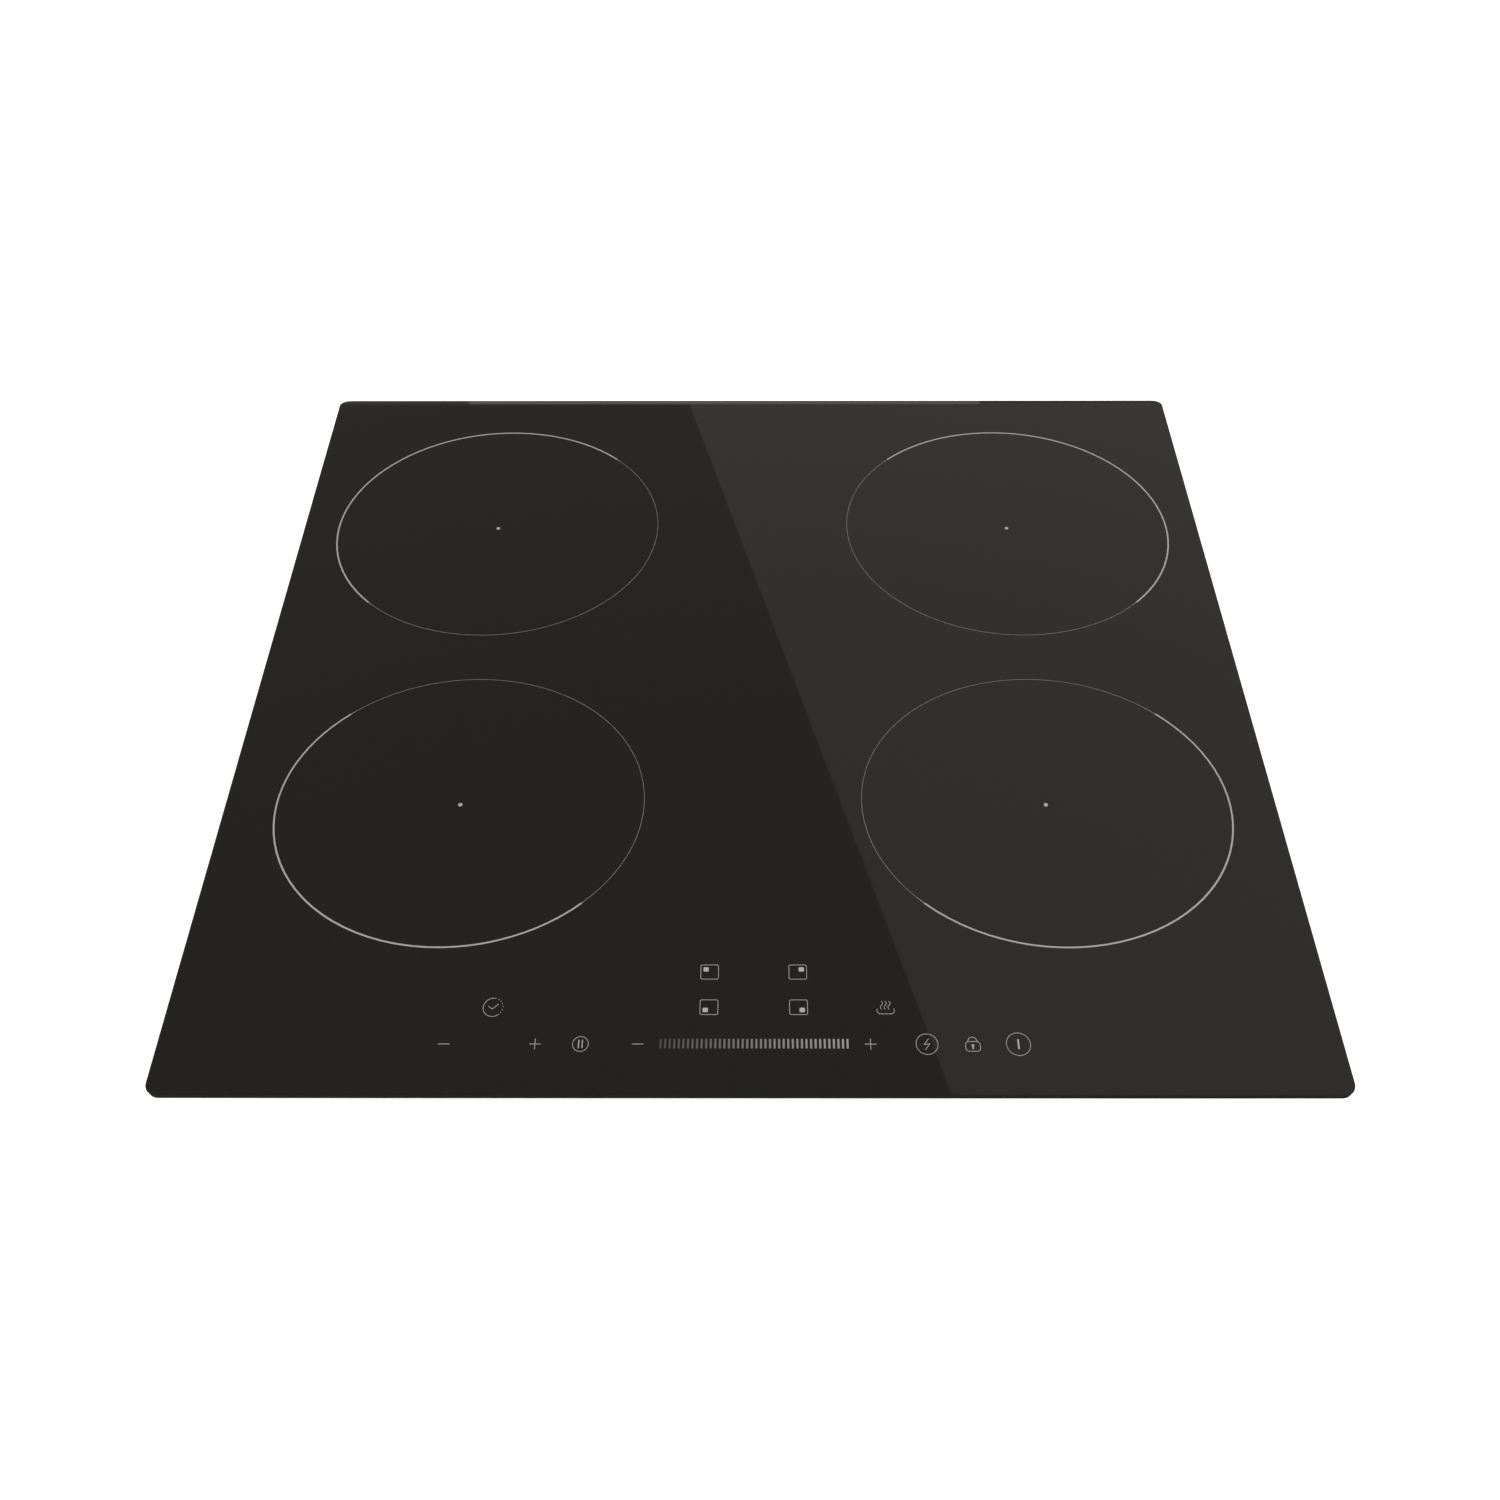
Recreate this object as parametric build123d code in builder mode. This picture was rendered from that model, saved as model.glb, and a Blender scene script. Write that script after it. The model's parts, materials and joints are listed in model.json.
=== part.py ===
from build123d import *
import os
from math import cos, radians, sin, sqrt

# Built-in induction cooktop with four round zones, for a 560 x 490 mm worktop cut-out.
# All sizes are millimetres. X runs left to right, Y front to rear, Z up; the origin is
# at the centre of the casing's underside. The worktop's upper face would be at WORKTOP_Z.

os.makedirs("parts", exist_ok=True)

BOTTOM = (Align.CENTER, Align.CENTER, Align.MIN)

# ---------------------------------------------------------------- driving dimensions
# Glass plate
GLASS_W = 590.0
GLASS_D = 520.0
GLASS_T = 4.0
GLASS_CORNER_R = 6.5
EDGE_GRIND = 0.4
REAR_BEVEL_W = 5.5
REAR_BEVEL_H = 1.1

# Casing
TRAY_W = 550.0
TRAY_D = 480.0
SHEET = 1.0
TRAY_CORNER_R = 12.0
TRAY_BEND_R = 3.0
WORKTOP_Z = 50.0
GASKET_T = 2.0
GASKET_W = 13.0
GASKET_INSET = 4.0
RIM_GAP = 0.5
GLASS_Z = WORKTOP_Z + GASKET_T
TOP_Z = GLASS_Z + GLASS_T
RIM_Z = GLASS_Z - RIM_GAP
SIDE_X = TRAY_W / 2
END_Y = TRAY_D / 2
FLOOR_Z = SHEET

# Rails bonded under the glass
BEAD_T = 1.0
RAIL_T = 1.0
RAIL_W = 14.0
RAIL_DROP = 14.0
RAIL_TOP_Z = GLASS_Z - BEAD_T
RAIL_END_X = 255.0
RAIL_END_Y = 225.0
CASE_SCREW_Z = 45.0

# Vent slots: how many stand in each row, and where the rows are centred
VENT_W = 3.0
VENT_L = 22.0
VENT_PITCH = 7.0
VENT_Z = 23.0
FRONT_VENTS = 23
FRONT_VENTS_X = 150.0
REAR_VENTS = 31
SIDE_VENTS = 31
FLOOR_VENTS = 25
FLOOR_VENTS_AT = (130.0, -205.0)

# Small screws and their holes
SCREW_R = 1.5

# Cooking zones: the centre of each coil
ZONES = {
    "rear_left": (-167.8, 130.7),
    "rear_right": (167.8, 130.7),
    "front_left": (-164.6, -88.9),
    "front_right": (164.6, -88.9),
}

# Printed zone marks: centre x, centre y, half width, half depth, start of the bold half
ZONE_MARKS = (
    (-166.7, 129.4, 105.4, 94.1, 45.0),
    (169.0, 129.4, 105.4, 94.1, -45.0),
    (-162.8, -90.0, 103.3, 90.0, 135.0),
    (165.9, -90.0, 103.3, 90.0, -135.0),
)
PRINT_T = 0.05
BOLD_LINE = 0.9
FINE_LINE = 0.2
DOT_R = 1.2
DOT_DROP = 0.7

# Printed touch controls
ICON_LINE = 0.25
SIGN = 5.7
SIGN_LINE = 0.3
KEY_ROW_Y = -233.5
TIMER_ROW_Y = -213.8
SELECT_ROWS_Y = (-213.7, -194.1)
SELECT_COLUMNS_X = (-20.7, 24.6)
MINUS_X = (-152.1, -55.8)
PLUS_X = (-106.8, 60.0)
TIMER_X = -129.9
PAUSE_X = -84.2
WARM_X = 68.5
BOOST_X = 88.0
LOCK_X = 110.7
ON_OFF_X = 133.4
SLIDER_TICKS = 42
SLIDER_PITCH = 2.266
SLIDER_CENTRE_X = 2.1
TICK_W = 1.0
TICK_H = 5.0

# Induction coils, counted down from the glass
MICA_R = 90.0
MICA_T = 1.0
COIL_R_IN = 26.0
COIL_R_OUT = 86.0
COIL_TURNS = 12
COIL_Z = (47.5, 51.0)
CARRIER_R = 88.0
CARRIER_Z = (44.5, 47.5)
FERRITE_Z = (40.5, 44.5)
PLATE_Z = (37.0, 38.5)
PLATE_X = (12.0, 258.0)
PLATE_Y = (-176.0, 200.0)
PLATE_POSTS = ((18.0, -166.0), (250.0, -166.0), (18.0, 190.0), (250.0, 190.0))
LEAD_OFFSET = (44.0, 18.2)

# Fans
FAN_X = (-150.0, 75.0)
FAN_Y = 165.0
FAN_BODY_R = 46.0
FAN_WALL = 1.5
FAN_INLET_R = 30.0
FAN_TOP_Z = 31.0
OUTLET_W = 42.0
OUTLET_REACH = 52.0
ROTOR_R = 36.0
ROTOR_BLADES = 28
SHAFT_R = 1.5
RUNNING_GAP = 0.05
FAN_EAR_ANGLES = (20.0, 110.0, 330.0)
FAN_EAR_R = 50.0

# Circuit boards
BOARD_T = 1.6
BOARD_Z = 8.0
BOARD_TOP_Z = BOARD_Z + BOARD_T
POWER_X = (25.0, 235.0)
POWER_Y = (-120.0, 100.0)
FILTER_X = (135.0, 235.0)
FILTER_Y = (115.0, 195.0)
CONTROL_X = 160.0
CONTROL_Y = (-236.0, -186.0)
CONTROL_Z = 47.0
SINK_W = 44.0
SINK_Y = (-60.0, 90.0)
SINK_TOP_Z = 34.0
SINK_FINS = 8
SINK_X = (FAN_X[0] - 25.0, FAN_X[1] - 25.0)

# Terminal box in the rear wall
BOX_X = (140.0, 224.0)
BOX_Z = (9.0, 40.0)
BOX_FRONT_Y = 209.0
BOX_WALL = 2.0
LIP_T = 1.5
LIP_X = (136.0, 228.0)
LIP_Z = (5.0, 44.0)
WINDOW_X = (147.0, 198.0)
WINDOW_Z = (13.0, 37.0)
LID_X = (142.3, 202.2)
LID_Z = (8.5, 42.5)
LID_T = 2.0
LID_GAP = 0.1
HINGE_Y = 243.2
HINGE_Z = 8.5
HINGE_PIN_R = 0.8
KNUCKLE_R = 1.6
GROMMET_X = 214.0
GROMMET_Z = 24.0
CABLE_R = 6.5
POLES = 5
POLE_PITCH = 9.6
LIP_Y = END_Y + LIP_T

# Worktop clamps
CLAMP_Y = 150.0
CLAMP_W = 24.0
CLAMP_T = 2.0
CLAMP_FOOT_X = 292.0
CLAMP_FOOT_Z = 20.0
CLAMP_TOP_Z = 47.0
CLAMP_SCREW_Z = 32.0
CLAMP_DOWN = 10.0
CLAMP_UP = 4.0
CLAMP_SCREW_R = 2.0


def save(piece, name):
    """Label a finished piece and write it."""
    piece.part.label = name
    export_step(piece.part, f"parts/{name}.step")


def block(x, y, z, mode=Mode.ADD):
    """Add a straight block between pairs of limits to the part being built."""
    with Locations(((x[0] + x[1]) / 2, (y[0] + y[1]) / 2, (z[0] + z[1]) / 2)):
        Box(x[1] - x[0], y[1] - y[0], z[1] - z[0], mode=mode)


def peg(x, y, z, radius, mode=Mode.ADD):
    """Add an upright round peg between two heights to the part being built."""
    with Locations((x, y, z[0])):
        Cylinder(radius, z[1] - z[0], align=BOTTOM, mode=mode)


# ---------------------------------------------------------------- glass and its print
with BuildPart() as glass_top:
    with BuildSketch(Plane.XY.offset(GLASS_Z)):
        RectangleRounded(GLASS_W, GLASS_D, GLASS_CORNER_R)
    extrude(amount=GLASS_T)
    outer_edges = glass_top.faces().filter_by(Axis.Z).edges()
    chamfer(outer_edges, EDGE_GRIND)
    with BuildSketch(Plane.YZ.offset(-GLASS_W / 2)):
        with BuildLine():
            Polyline(
                (GLASS_D / 2 - REAR_BEVEL_W, TOP_Z),
                (GLASS_D / 2 + 1, TOP_Z),
                (GLASS_D / 2 + 1, TOP_Z - REAR_BEVEL_H * (1 + 1 / REAR_BEVEL_W)),
                close=True,
            )
        make_face()
    extrude(amount=GLASS_W, mode=Mode.SUBTRACT)
save(glass_top, "glass_top")

with BuildPart() as zone_print:
    with BuildSketch(Plane.XY.offset(TOP_Z)):
        for mark_x, mark_y, half_w, half_d, bold_start in ZONE_MARKS:
            for start, line_w in ((bold_start, BOLD_LINE), (bold_start + 180, FINE_LINE)):
                with BuildLine():
                    EllipticalCenterArc((mark_x, mark_y), half_w, half_d, start, arc_size=180.0)
                trace(line_width=line_w)
            with Locations((mark_x, mark_y - DOT_DROP)):
                Circle(DOT_R)
    extrude(amount=PRINT_T)
save(zone_print, "zone_print")


def outline_circle(x, y, diameter):
    """Draw a printed circle of one line width."""
    with Locations((x, y)):
        Circle(diameter / 2)
        Circle(diameter / 2 - ICON_LINE, mode=Mode.SUBTRACT)


def bar(x, y, width, height):
    """Draw a printed upright bar."""
    with Locations((x, y)):
        Rectangle(width, height)


def minus_sign(x):
    """Draw a minus sign in the lower row."""
    bar(x, KEY_ROW_Y, SIGN, SIGN_LINE)


def plus_sign(x):
    """Draw a plus sign in the lower row."""
    minus_sign(x)
    bar(x, KEY_ROW_Y, SIGN_LINE, SIGN)


def draw_arc(x, y, radius, start, sweep):
    """Draw a printed arc."""
    with BuildLine() as arc:
        CenterArc((x, y), radius, start, sweep)
    trace(arc.line, line_width=ICON_LINE)


def draw_line(*points):
    """Draw a printed line through points."""
    with BuildLine() as route:
        Polyline(*points)
    trace(route.line, line_width=ICON_LINE)


def timer_icon(x, y):
    """Draw a clock face, its right side dotted, with two hands."""
    face_r = 5.0
    draw_arc(x, y, face_r, 78, 234)
    for dot in range(6):
        draw_arc(x, y, face_r, -37 + 19 * dot, 6)
    draw_line((x - 2.4, y + 0.6), (x - 0.5, y - 0.9), (x + 2.7, y + 1.8))


def pause_icon(x, y):
    """Draw two upright bars in a circle."""
    outline_circle(x, y, 8.1)
    for side in (-1, 1):
        bar(x + side * 0.9, y, 0.5, 4.4)


def boost_icon(x, y):
    """Draw a zigzag bolt in a circle."""
    outline_circle(x, y, 11.1)
    draw_line((x + 1.0, y + 3.0), (x - 1.4, y - 0.2), (x + 1.4, y + 0.2), (x - 1.0, y - 3.0))


def lock_icon(x, y):
    """Draw a closed padlock with its keyhole."""
    body_w = 7.5
    body_h = 5.4
    body_y = y - 1.2
    corner_r = 1.9
    with Locations((x, body_y)):
        RectangleRounded(body_w, body_h, corner_r)
        RectangleRounded(
            body_w - 2 * ICON_LINE,
            body_h - 2 * ICON_LINE,
            corner_r - ICON_LINE,
            mode=Mode.SUBTRACT,
        )
    draw_arc(x, body_y + body_h / 2 - 0.1, 2.3, 0, 180)
    with Locations((x, body_y + 0.5)):
        Circle(0.65)
    bar(x, body_y - 0.5, 0.6, 1.9)


def power_icon(x, y):
    """Draw an upright bar in a circle."""
    outline_circle(x, y, 12.2)
    bar(x, y, 0.8, 5.2)


def select_icon(x, y, side, row):
    """Draw a rounded frame with a filled corner that stands for one zone."""
    frame_w = 9.3
    frame_h = 8.3
    fill_w = 2.7
    fill_h = 2.4
    inset = 1.45
    with Locations((x, y)):
        RectangleRounded(frame_w, frame_h, 1.0)
        RectangleRounded(frame_w - 2 * ICON_LINE, frame_h - 2 * ICON_LINE, 0.75, mode=Mode.SUBTRACT)
    fill_x = frame_w / 2 - fill_w / 2 - inset
    fill_y = frame_h / 2 - fill_h / 2 - inset
    with Locations((x + side * fill_x, y + row * fill_y)):
        RectangleRounded(fill_w, fill_h, 0.5)


def warm_icon(x, y):
    """Draw a shallow dish under three wavy lines."""
    rim_x = 4.3
    rim_y = y - 0.6
    base_y = y - 3.5
    base_x = 3.2
    draw_line((x - rim_x, rim_y), (x - rim_x, base_y + 1.0), (x - base_x, base_y))
    draw_line((x - base_x, base_y), (x + base_x, base_y))
    draw_line((x + base_x, base_y), (x + rim_x, base_y + 1.0), (x + rim_x, rim_y))
    wave_r = 1.35
    shift = wave_r * cos(radians(55))
    half = wave_r * sin(radians(55))
    for column in (-1.9, 0.0, 1.9):
        draw_arc(x + column + shift, y - 1.0 + half, wave_r, 125, 110)
        draw_arc(x + column - shift, y - 1.0 + 3 * half, wave_r, -55, 110)


with BuildPart() as control_print:
    with BuildSketch(Plane.XY.offset(TOP_Z)):
        for sign_x in MINUS_X:
            minus_sign(sign_x)
        for sign_x in PLUS_X:
            plus_sign(sign_x)
        timer_icon(TIMER_X, TIMER_ROW_Y)
        pause_icon(PAUSE_X, KEY_ROW_Y)
        boost_icon(BOOST_X, KEY_ROW_Y)
        lock_icon(LOCK_X, KEY_ROW_Y)
        power_icon(ON_OFF_X, KEY_ROW_Y)
        warm_icon(WARM_X, TIMER_ROW_Y)
        for side, select_x in zip((-1, 1), SELECT_COLUMNS_X):
            for row, select_y in zip((-1, 1), SELECT_ROWS_Y):
                select_icon(select_x, select_y, side, row)
    extrude(amount=PRINT_T)
save(control_print, "control_print")

with BuildPart() as slider_print:
    with BuildSketch(Plane.XY.offset(TOP_Z)):
        with Locations((SLIDER_CENTRE_X, KEY_ROW_Y + 0.2)):
            with GridLocations(SLIDER_PITCH, 0, SLIDER_TICKS, 1):
                Rectangle(TICK_W, TICK_H)
    extrude(amount=PRINT_T)
save(slider_print, "slider_print")

# ---------------------------------------------------------------- seal, rails and tray
with BuildPart() as sealing_gasket:
    strip_x = GLASS_W / 2 - GASKET_INSET - GASKET_W / 2
    strip_y = GLASS_D / 2 - GASKET_INSET - GASKET_W / 2
    with BuildSketch(Plane.XY.offset(WORKTOP_Z)):
        with Locations((-strip_x, 0), (strip_x, 0)):
            Rectangle(GASKET_W, 2 * strip_y + GASKET_W)
        with Locations((0, -strip_y), (0, strip_y)):
            Rectangle(2 * strip_x - GASKET_W - 0.2, GASKET_W)
    extrude(amount=GASKET_T)
save(sealing_gasket, "sealing_gasket")


def side_rail(side):
    """A left (-1) or right (1) angle rail."""
    outer = side * (SIDE_X - SHEET)
    leg_x = sorted((outer, outer - side * RAIL_T))
    flange_x = sorted((outer, outer - side * RAIL_W))
    with BuildPart() as rail:
        block(flange_x, (-RAIL_END_Y, RAIL_END_Y), (RAIL_TOP_Z - RAIL_T, RAIL_TOP_Z))
        block(leg_x, (-RAIL_END_Y, RAIL_END_Y), (RAIL_TOP_Z - RAIL_T - RAIL_DROP, RAIL_TOP_Z))
    return rail


def end_rail(x, side):
    """A front (-1) or rear (1) angle rail between two x limits."""
    outer = side * (END_Y - SHEET)
    leg_y = sorted((outer, outer - side * RAIL_T))
    flange_y = sorted((outer, outer - side * RAIL_W))
    with BuildPart() as rail:
        block(x, flange_y, (RAIL_TOP_Z - RAIL_T, RAIL_TOP_Z))
        block(x, leg_y, (RAIL_TOP_Z - RAIL_T - RAIL_DROP, RAIL_TOP_Z))
    return rail


rail_left = side_rail(-1)
rail_right = side_rail(1)

FRONT_RAIL_X = (168.0, RAIL_END_X)
with BuildPart() as rail_rear:
    add(end_rail((-RAIL_END_X, RAIL_END_X), 1).part)
    block(
        (LIP_X[0] - 4, LIP_X[1] + 4),
        (END_Y - SHEET - RAIL_T, END_Y),
        (0, RAIL_TOP_Z - RAIL_T),
        mode=Mode.SUBTRACT,
    )

with BuildPart() as rails_front:
    add(end_rail(FRONT_RAIL_X, -1).part)
    add(end_rail((-FRONT_RAIL_X[1], -FRONT_RAIL_X[0]), -1).part)

with BuildPart() as silicone_beads:
    bead_w = 8.0
    bead_inset = 2.0
    bead_z = (RAIL_TOP_Z, GLASS_Z)
    side_in = SIDE_X - SHEET - bead_inset - bead_w
    end_in = END_Y - SHEET - bead_inset - bead_w
    for side in (-1, 1):
        bead_x = sorted((side * side_in, side * (side_in + bead_w)))
        block(bead_x, (-RAIL_END_Y + 3, RAIL_END_Y - 3), bead_z)
        front_x = sorted((side * (FRONT_RAIL_X[0] + 3), side * (FRONT_RAIL_X[1] - 3)))
        block(front_x, (-end_in - bead_w, -end_in), bead_z)
    block((-RAIL_END_X + 3, RAIL_END_X - 3), (end_in, end_in + bead_w), bead_z)
save(silicone_beads, "silicone_beads")

SIDE_SCREWS_Y = (-200.0, 0.0, 200.0)
REAR_SCREWS_X = (-200.0, -30.0, 100.0)
FRONT_SCREWS_X = (-210.0, 210.0)


def rear_plane(distance=0.0):
    """A plane that looks forward, the given distance behind the rear wall's outer face."""
    return Plane.XZ.offset(-(END_Y + distance))


def front_plane(distance=0.0):
    """A plane that looks forward, the given distance in front of the front wall."""
    return Plane.XZ.offset(END_Y + distance)


with BuildPart() as base_tray:
    with BuildSketch():
        RectangleRounded(TRAY_W, TRAY_D, TRAY_CORNER_R)
    extrude(amount=RIM_Z)
    fillet(base_tray.faces().sort_by(Axis.Z)[0].edges(), TRAY_BEND_R)
    offset(amount=-SHEET, openings=base_tray.faces().sort_by(Axis.Z)[-1])
    # front and rear vents
    with BuildSketch(front_plane(1)):
        for side in (-1, 1):
            with Locations((side * FRONT_VENTS_X, VENT_Z)):
                with GridLocations(VENT_PITCH, 0, FRONT_VENTS, 1):
                    SlotOverall(VENT_L, VENT_W, rotation=90)
    extrude(amount=-3, mode=Mode.SUBTRACT)
    with BuildSketch(rear_plane(1)):
        with Locations((0, VENT_Z)):
            with GridLocations(VENT_PITCH, 0, REAR_VENTS, 1):
                SlotOverall(VENT_L, VENT_W, rotation=90)
    extrude(amount=3, mode=Mode.SUBTRACT)
    # side vents
    with BuildSketch(Plane.YZ.offset(-SIDE_X - 1)):
        with Locations((0, VENT_Z)):
            with GridLocations(VENT_PITCH, 0, SIDE_VENTS, 1):
                SlotOverall(VENT_L, VENT_W, rotation=90)
    extrude(amount=TRAY_W + 2, mode=Mode.SUBTRACT)
    # air inlets under the fans, and a smaller field of slots under the boards
    with BuildSketch():
        for fan_x in FAN_X:
            for column in range(-3, 4):
                slot_x = column * 8.0
                slot_l = 2 * sqrt(FAN_INLET_R**2 - slot_x**2)
                with Locations((fan_x + slot_x, FAN_Y)):
                    SlotOverall(slot_l, 4.0, rotation=90)
        for side in (-1, 1):
            with Locations((side * FLOOR_VENTS_AT[0], FLOOR_VENTS_AT[1])):
                with GridLocations(VENT_PITCH, 0, FLOOR_VENTS, 1):
                    SlotOverall(VENT_L, VENT_W, rotation=90)
    extrude(amount=FLOOR_Z, mode=Mode.SUBTRACT)
    # opening for the terminal box
    block(
        (BOX_X[0], BOX_X[1]),
        (END_Y - 2 * SHEET, END_Y + SHEET),
        BOX_Z,
        mode=Mode.SUBTRACT,
    )
    # screw holes in the walls
    with BuildSketch(rear_plane(1)):
        with Locations(*[(x, CASE_SCREW_Z) for x in REAR_SCREWS_X]):
            Circle(SCREW_R)
    extrude(amount=3, mode=Mode.SUBTRACT)
    with BuildSketch(front_plane(1)):
        with Locations(*[(x, CASE_SCREW_Z) for x in FRONT_SCREWS_X]):
            Circle(SCREW_R)
    extrude(amount=-3, mode=Mode.SUBTRACT)
    with BuildSketch(Plane.YZ.offset(-SIDE_X - 1)):
        with Locations(*[(y, CASE_SCREW_Z) for y in SIDE_SCREWS_Y]):
            Circle(SCREW_R)
        with Locations((-CLAMP_Y, CLAMP_SCREW_Z), (CLAMP_Y, CLAMP_SCREW_Z)):
            Circle(CLAMP_SCREW_R)
    extrude(amount=TRAY_W + 2, mode=Mode.SUBTRACT)
save(base_tray, "base_tray")


def pan_head_screw(shank_r, shank_l, head_r, head_h):
    """A screw whose shank runs along -Z from the underside of its head at the origin."""
    with BuildPart() as screw:
        Cylinder(head_r, head_h, align=BOTTOM)
        fillet(screw.faces().sort_by(Axis.Z)[-1].edges(), head_h * 0.45)
        for turn in (0, 90):
            with Locations(Location((0, 0, head_h), (0, 0, turn))):
                Box(head_r * 1.1, head_r * 0.28, head_h, mode=Mode.SUBTRACT)
        with Locations((0, 0, -shank_l)):
            Cylinder(shank_r, shank_l, align=BOTTOM)
    return screw.part


TO_LEFT = (0, -90, 0)
TO_RIGHT = (0, 90, 0)
TO_REAR = (-90, 0, 0)
TO_FRONT = (90, 0, 0)

CASE_SCREW_PLACES = [
    *[Location((-SIDE_X, y, CASE_SCREW_Z), TO_LEFT) for y in SIDE_SCREWS_Y],
    *[Location((SIDE_X, y, CASE_SCREW_Z), TO_RIGHT) for y in SIDE_SCREWS_Y],
    *[Location((x, END_Y, CASE_SCREW_Z), TO_REAR) for x in REAR_SCREWS_X],
    *[Location((x, -END_Y, CASE_SCREW_Z), TO_FRONT) for x in FRONT_SCREWS_X],
]

case_screw = pan_head_screw(SCREW_R, 6.0, 3.4, 1.8)
with BuildPart() as case_screws:
    with Locations(*CASE_SCREW_PLACES):
        add(case_screw)
save(case_screws, "case_screws")

# the rails are drilled where the case screws pass
for rail, name in (
    (rail_left, "rail_left"),
    (rail_right, "rail_right"),
    (rail_rear, "rail_rear"),
    (rails_front, "rails_front"),
):
    with rail:
        with Locations(*CASE_SCREW_PLACES):
            Cylinder(SCREW_R, 12, mode=Mode.SUBTRACT)
    save(rail, name)

with BuildPart() as rating_plate:
    with BuildSketch(rear_plane()):
        with Locations((-190, 25)):
            RectangleRounded(64, 30, 2)
    extrude(amount=-0.4)
save(rating_plate, "rating_plate")

# ---------------------------------------------------------------- worktop clamps
clamp_screw = pan_head_screw(CLAMP_SCREW_R, 7.1, 4.0, 2.5)
with BuildPart() as clamp_screws:
    head_x = SIDE_X + CLAMP_T + 0.1
    with Locations(
        *[Location((-head_x, y, CLAMP_SCREW_Z), TO_LEFT) for y in (-CLAMP_Y, CLAMP_Y)],
        *[Location((head_x, y, CLAMP_SCREW_Z), TO_RIGHT) for y in (-CLAMP_Y, CLAMP_Y)],
    ):
        add(clamp_screw)
save(clamp_screws, "clamp_screws")


def worktop_clamp(side, y):
    """A slotted L bracket on the left (-1) or right (1) wall; its foot grips the worktop."""
    wall_x = SIDE_X + RUNNING_GAP
    leg_x = sorted((side * wall_x, side * (wall_x + CLAMP_T - RUNNING_GAP)))
    foot_x = sorted((side * wall_x, side * CLAMP_FOOT_X))
    width_y = (y - CLAMP_W / 2, y + CLAMP_W / 2)
    slot_low = CLAMP_SCREW_Z - CLAMP_UP
    slot_high = CLAMP_SCREW_Z + CLAMP_DOWN
    slot_w = 2 * CLAMP_SCREW_R + 0.5
    with BuildPart() as clamp:
        block(leg_x, width_y, (CLAMP_FOOT_Z, CLAMP_TOP_Z))
        block(foot_x, width_y, (CLAMP_FOOT_Z, CLAMP_FOOT_Z + CLAMP_T))
        tip = clamp.edges().filter_by(Axis.Z).group_by(SortBy.DISTANCE)[-1]
        fillet(tip, 4)
        top = clamp.edges().filter_by(Axis.X).group_by(Axis.Z)[-1]
        fillet(top, 4)
        for rib_y in (width_y[0] + 4, width_y[1] - 5.5):
            with BuildSketch(Plane.XZ.offset(-rib_y)):
                with BuildLine():
                    Polyline(
                        (side * (wall_x + CLAMP_T), CLAMP_FOOT_Z + CLAMP_T),
                        (side * (wall_x + CLAMP_T + 2.4), CLAMP_FOOT_Z + CLAMP_T),
                        (side * (wall_x + CLAMP_T), CLAMP_FOOT_Z + CLAMP_T + 5),
                        close=True,
                    )
                make_face()
            extrude(amount=-1.5)
        with BuildSketch(Plane.YZ.offset(leg_x[0] - 1)):
            with Locations((y, (slot_low + slot_high) / 2)):
                SlotOverall(slot_high - slot_low + slot_w, slot_w, rotation=90)
        extrude(amount=CLAMP_T + 2, mode=Mode.SUBTRACT)
    return clamp


for side, side_name in ((-1, "left"), (1, "right")):
    for end, end_name in ((-1, "front"), (1, "rear")):
        save(worktop_clamp(side, end * CLAMP_Y), f"clamp_{end_name}_{side_name}")

# ---------------------------------------------------------------- terminal box
WIRE_HOLES_X = (153.0, 162.6, 172.2)
WIRE_Z = 18.0
with BuildPart() as terminal_housing:
    block(BOX_X, (BOX_FRONT_Y, END_Y), BOX_Z)
    with BuildSketch(rear_plane()):
        with Locations(((LIP_X[0] + LIP_X[1]) / 2, (LIP_Z[0] + LIP_Z[1]) / 2)):
            RectangleRounded(LIP_X[1] - LIP_X[0], LIP_Z[1] - LIP_Z[0], 3)
    extrude(amount=-LIP_T)
    block(
        (BOX_X[0] + BOX_WALL, BOX_X[1] - BOX_WALL),
        (BOX_FRONT_Y + BOX_WALL, END_Y),
        (BOX_Z[0] + BOX_WALL, BOX_Z[1] - BOX_WALL),
        mode=Mode.SUBTRACT,
    )
    block(WINDOW_X, (END_Y - 1, LIP_Y + 1), WINDOW_Z, mode=Mode.SUBTRACT)
    with BuildSketch(rear_plane(LIP_T)):
        with Locations((GROMMET_X, GROMMET_Z)):
            Circle(8.0)
        with Locations(((LID_X[0] + LID_X[1]) / 2, LID_Z[1] - 3.4)):
            Circle(1.9)
    extrude(amount=LIP_T, mode=Mode.SUBTRACT)
    with BuildSketch(Plane.XZ.offset(-BOX_FRONT_Y)):
        with Locations(*[(x, WIRE_Z) for x in WIRE_HOLES_X]):
            Circle(1.6)
    extrude(amount=-BOX_WALL, mode=Mode.SUBTRACT)
    # hinge ears, one at each end of the lid
    for ear_x in ((LID_X[0] - 3.3, LID_X[0] - 0.3), (LID_X[1] + 0.3, LID_X[1] + 3.3)):
        with BuildSketch(Plane.YZ.offset(ear_x[0])):
            with Locations((HINGE_Y, HINGE_Z)):
                Circle(KNUCKLE_R)
            with Locations(((LIP_Y + HINGE_Y) / 2, HINGE_Z)):
                Rectangle(HINGE_Y - LIP_Y, 2 * KNUCKLE_R)
        extrude(amount=ear_x[1] - ear_x[0])
    with BuildSketch(Plane.YZ.offset(LID_X[0] - 5)):
        with Locations((HINGE_Y, HINGE_Z)):
            Circle(HINGE_PIN_R)
    extrude(amount=LID_X[1] - LID_X[0] + 10, mode=Mode.SUBTRACT)
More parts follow.
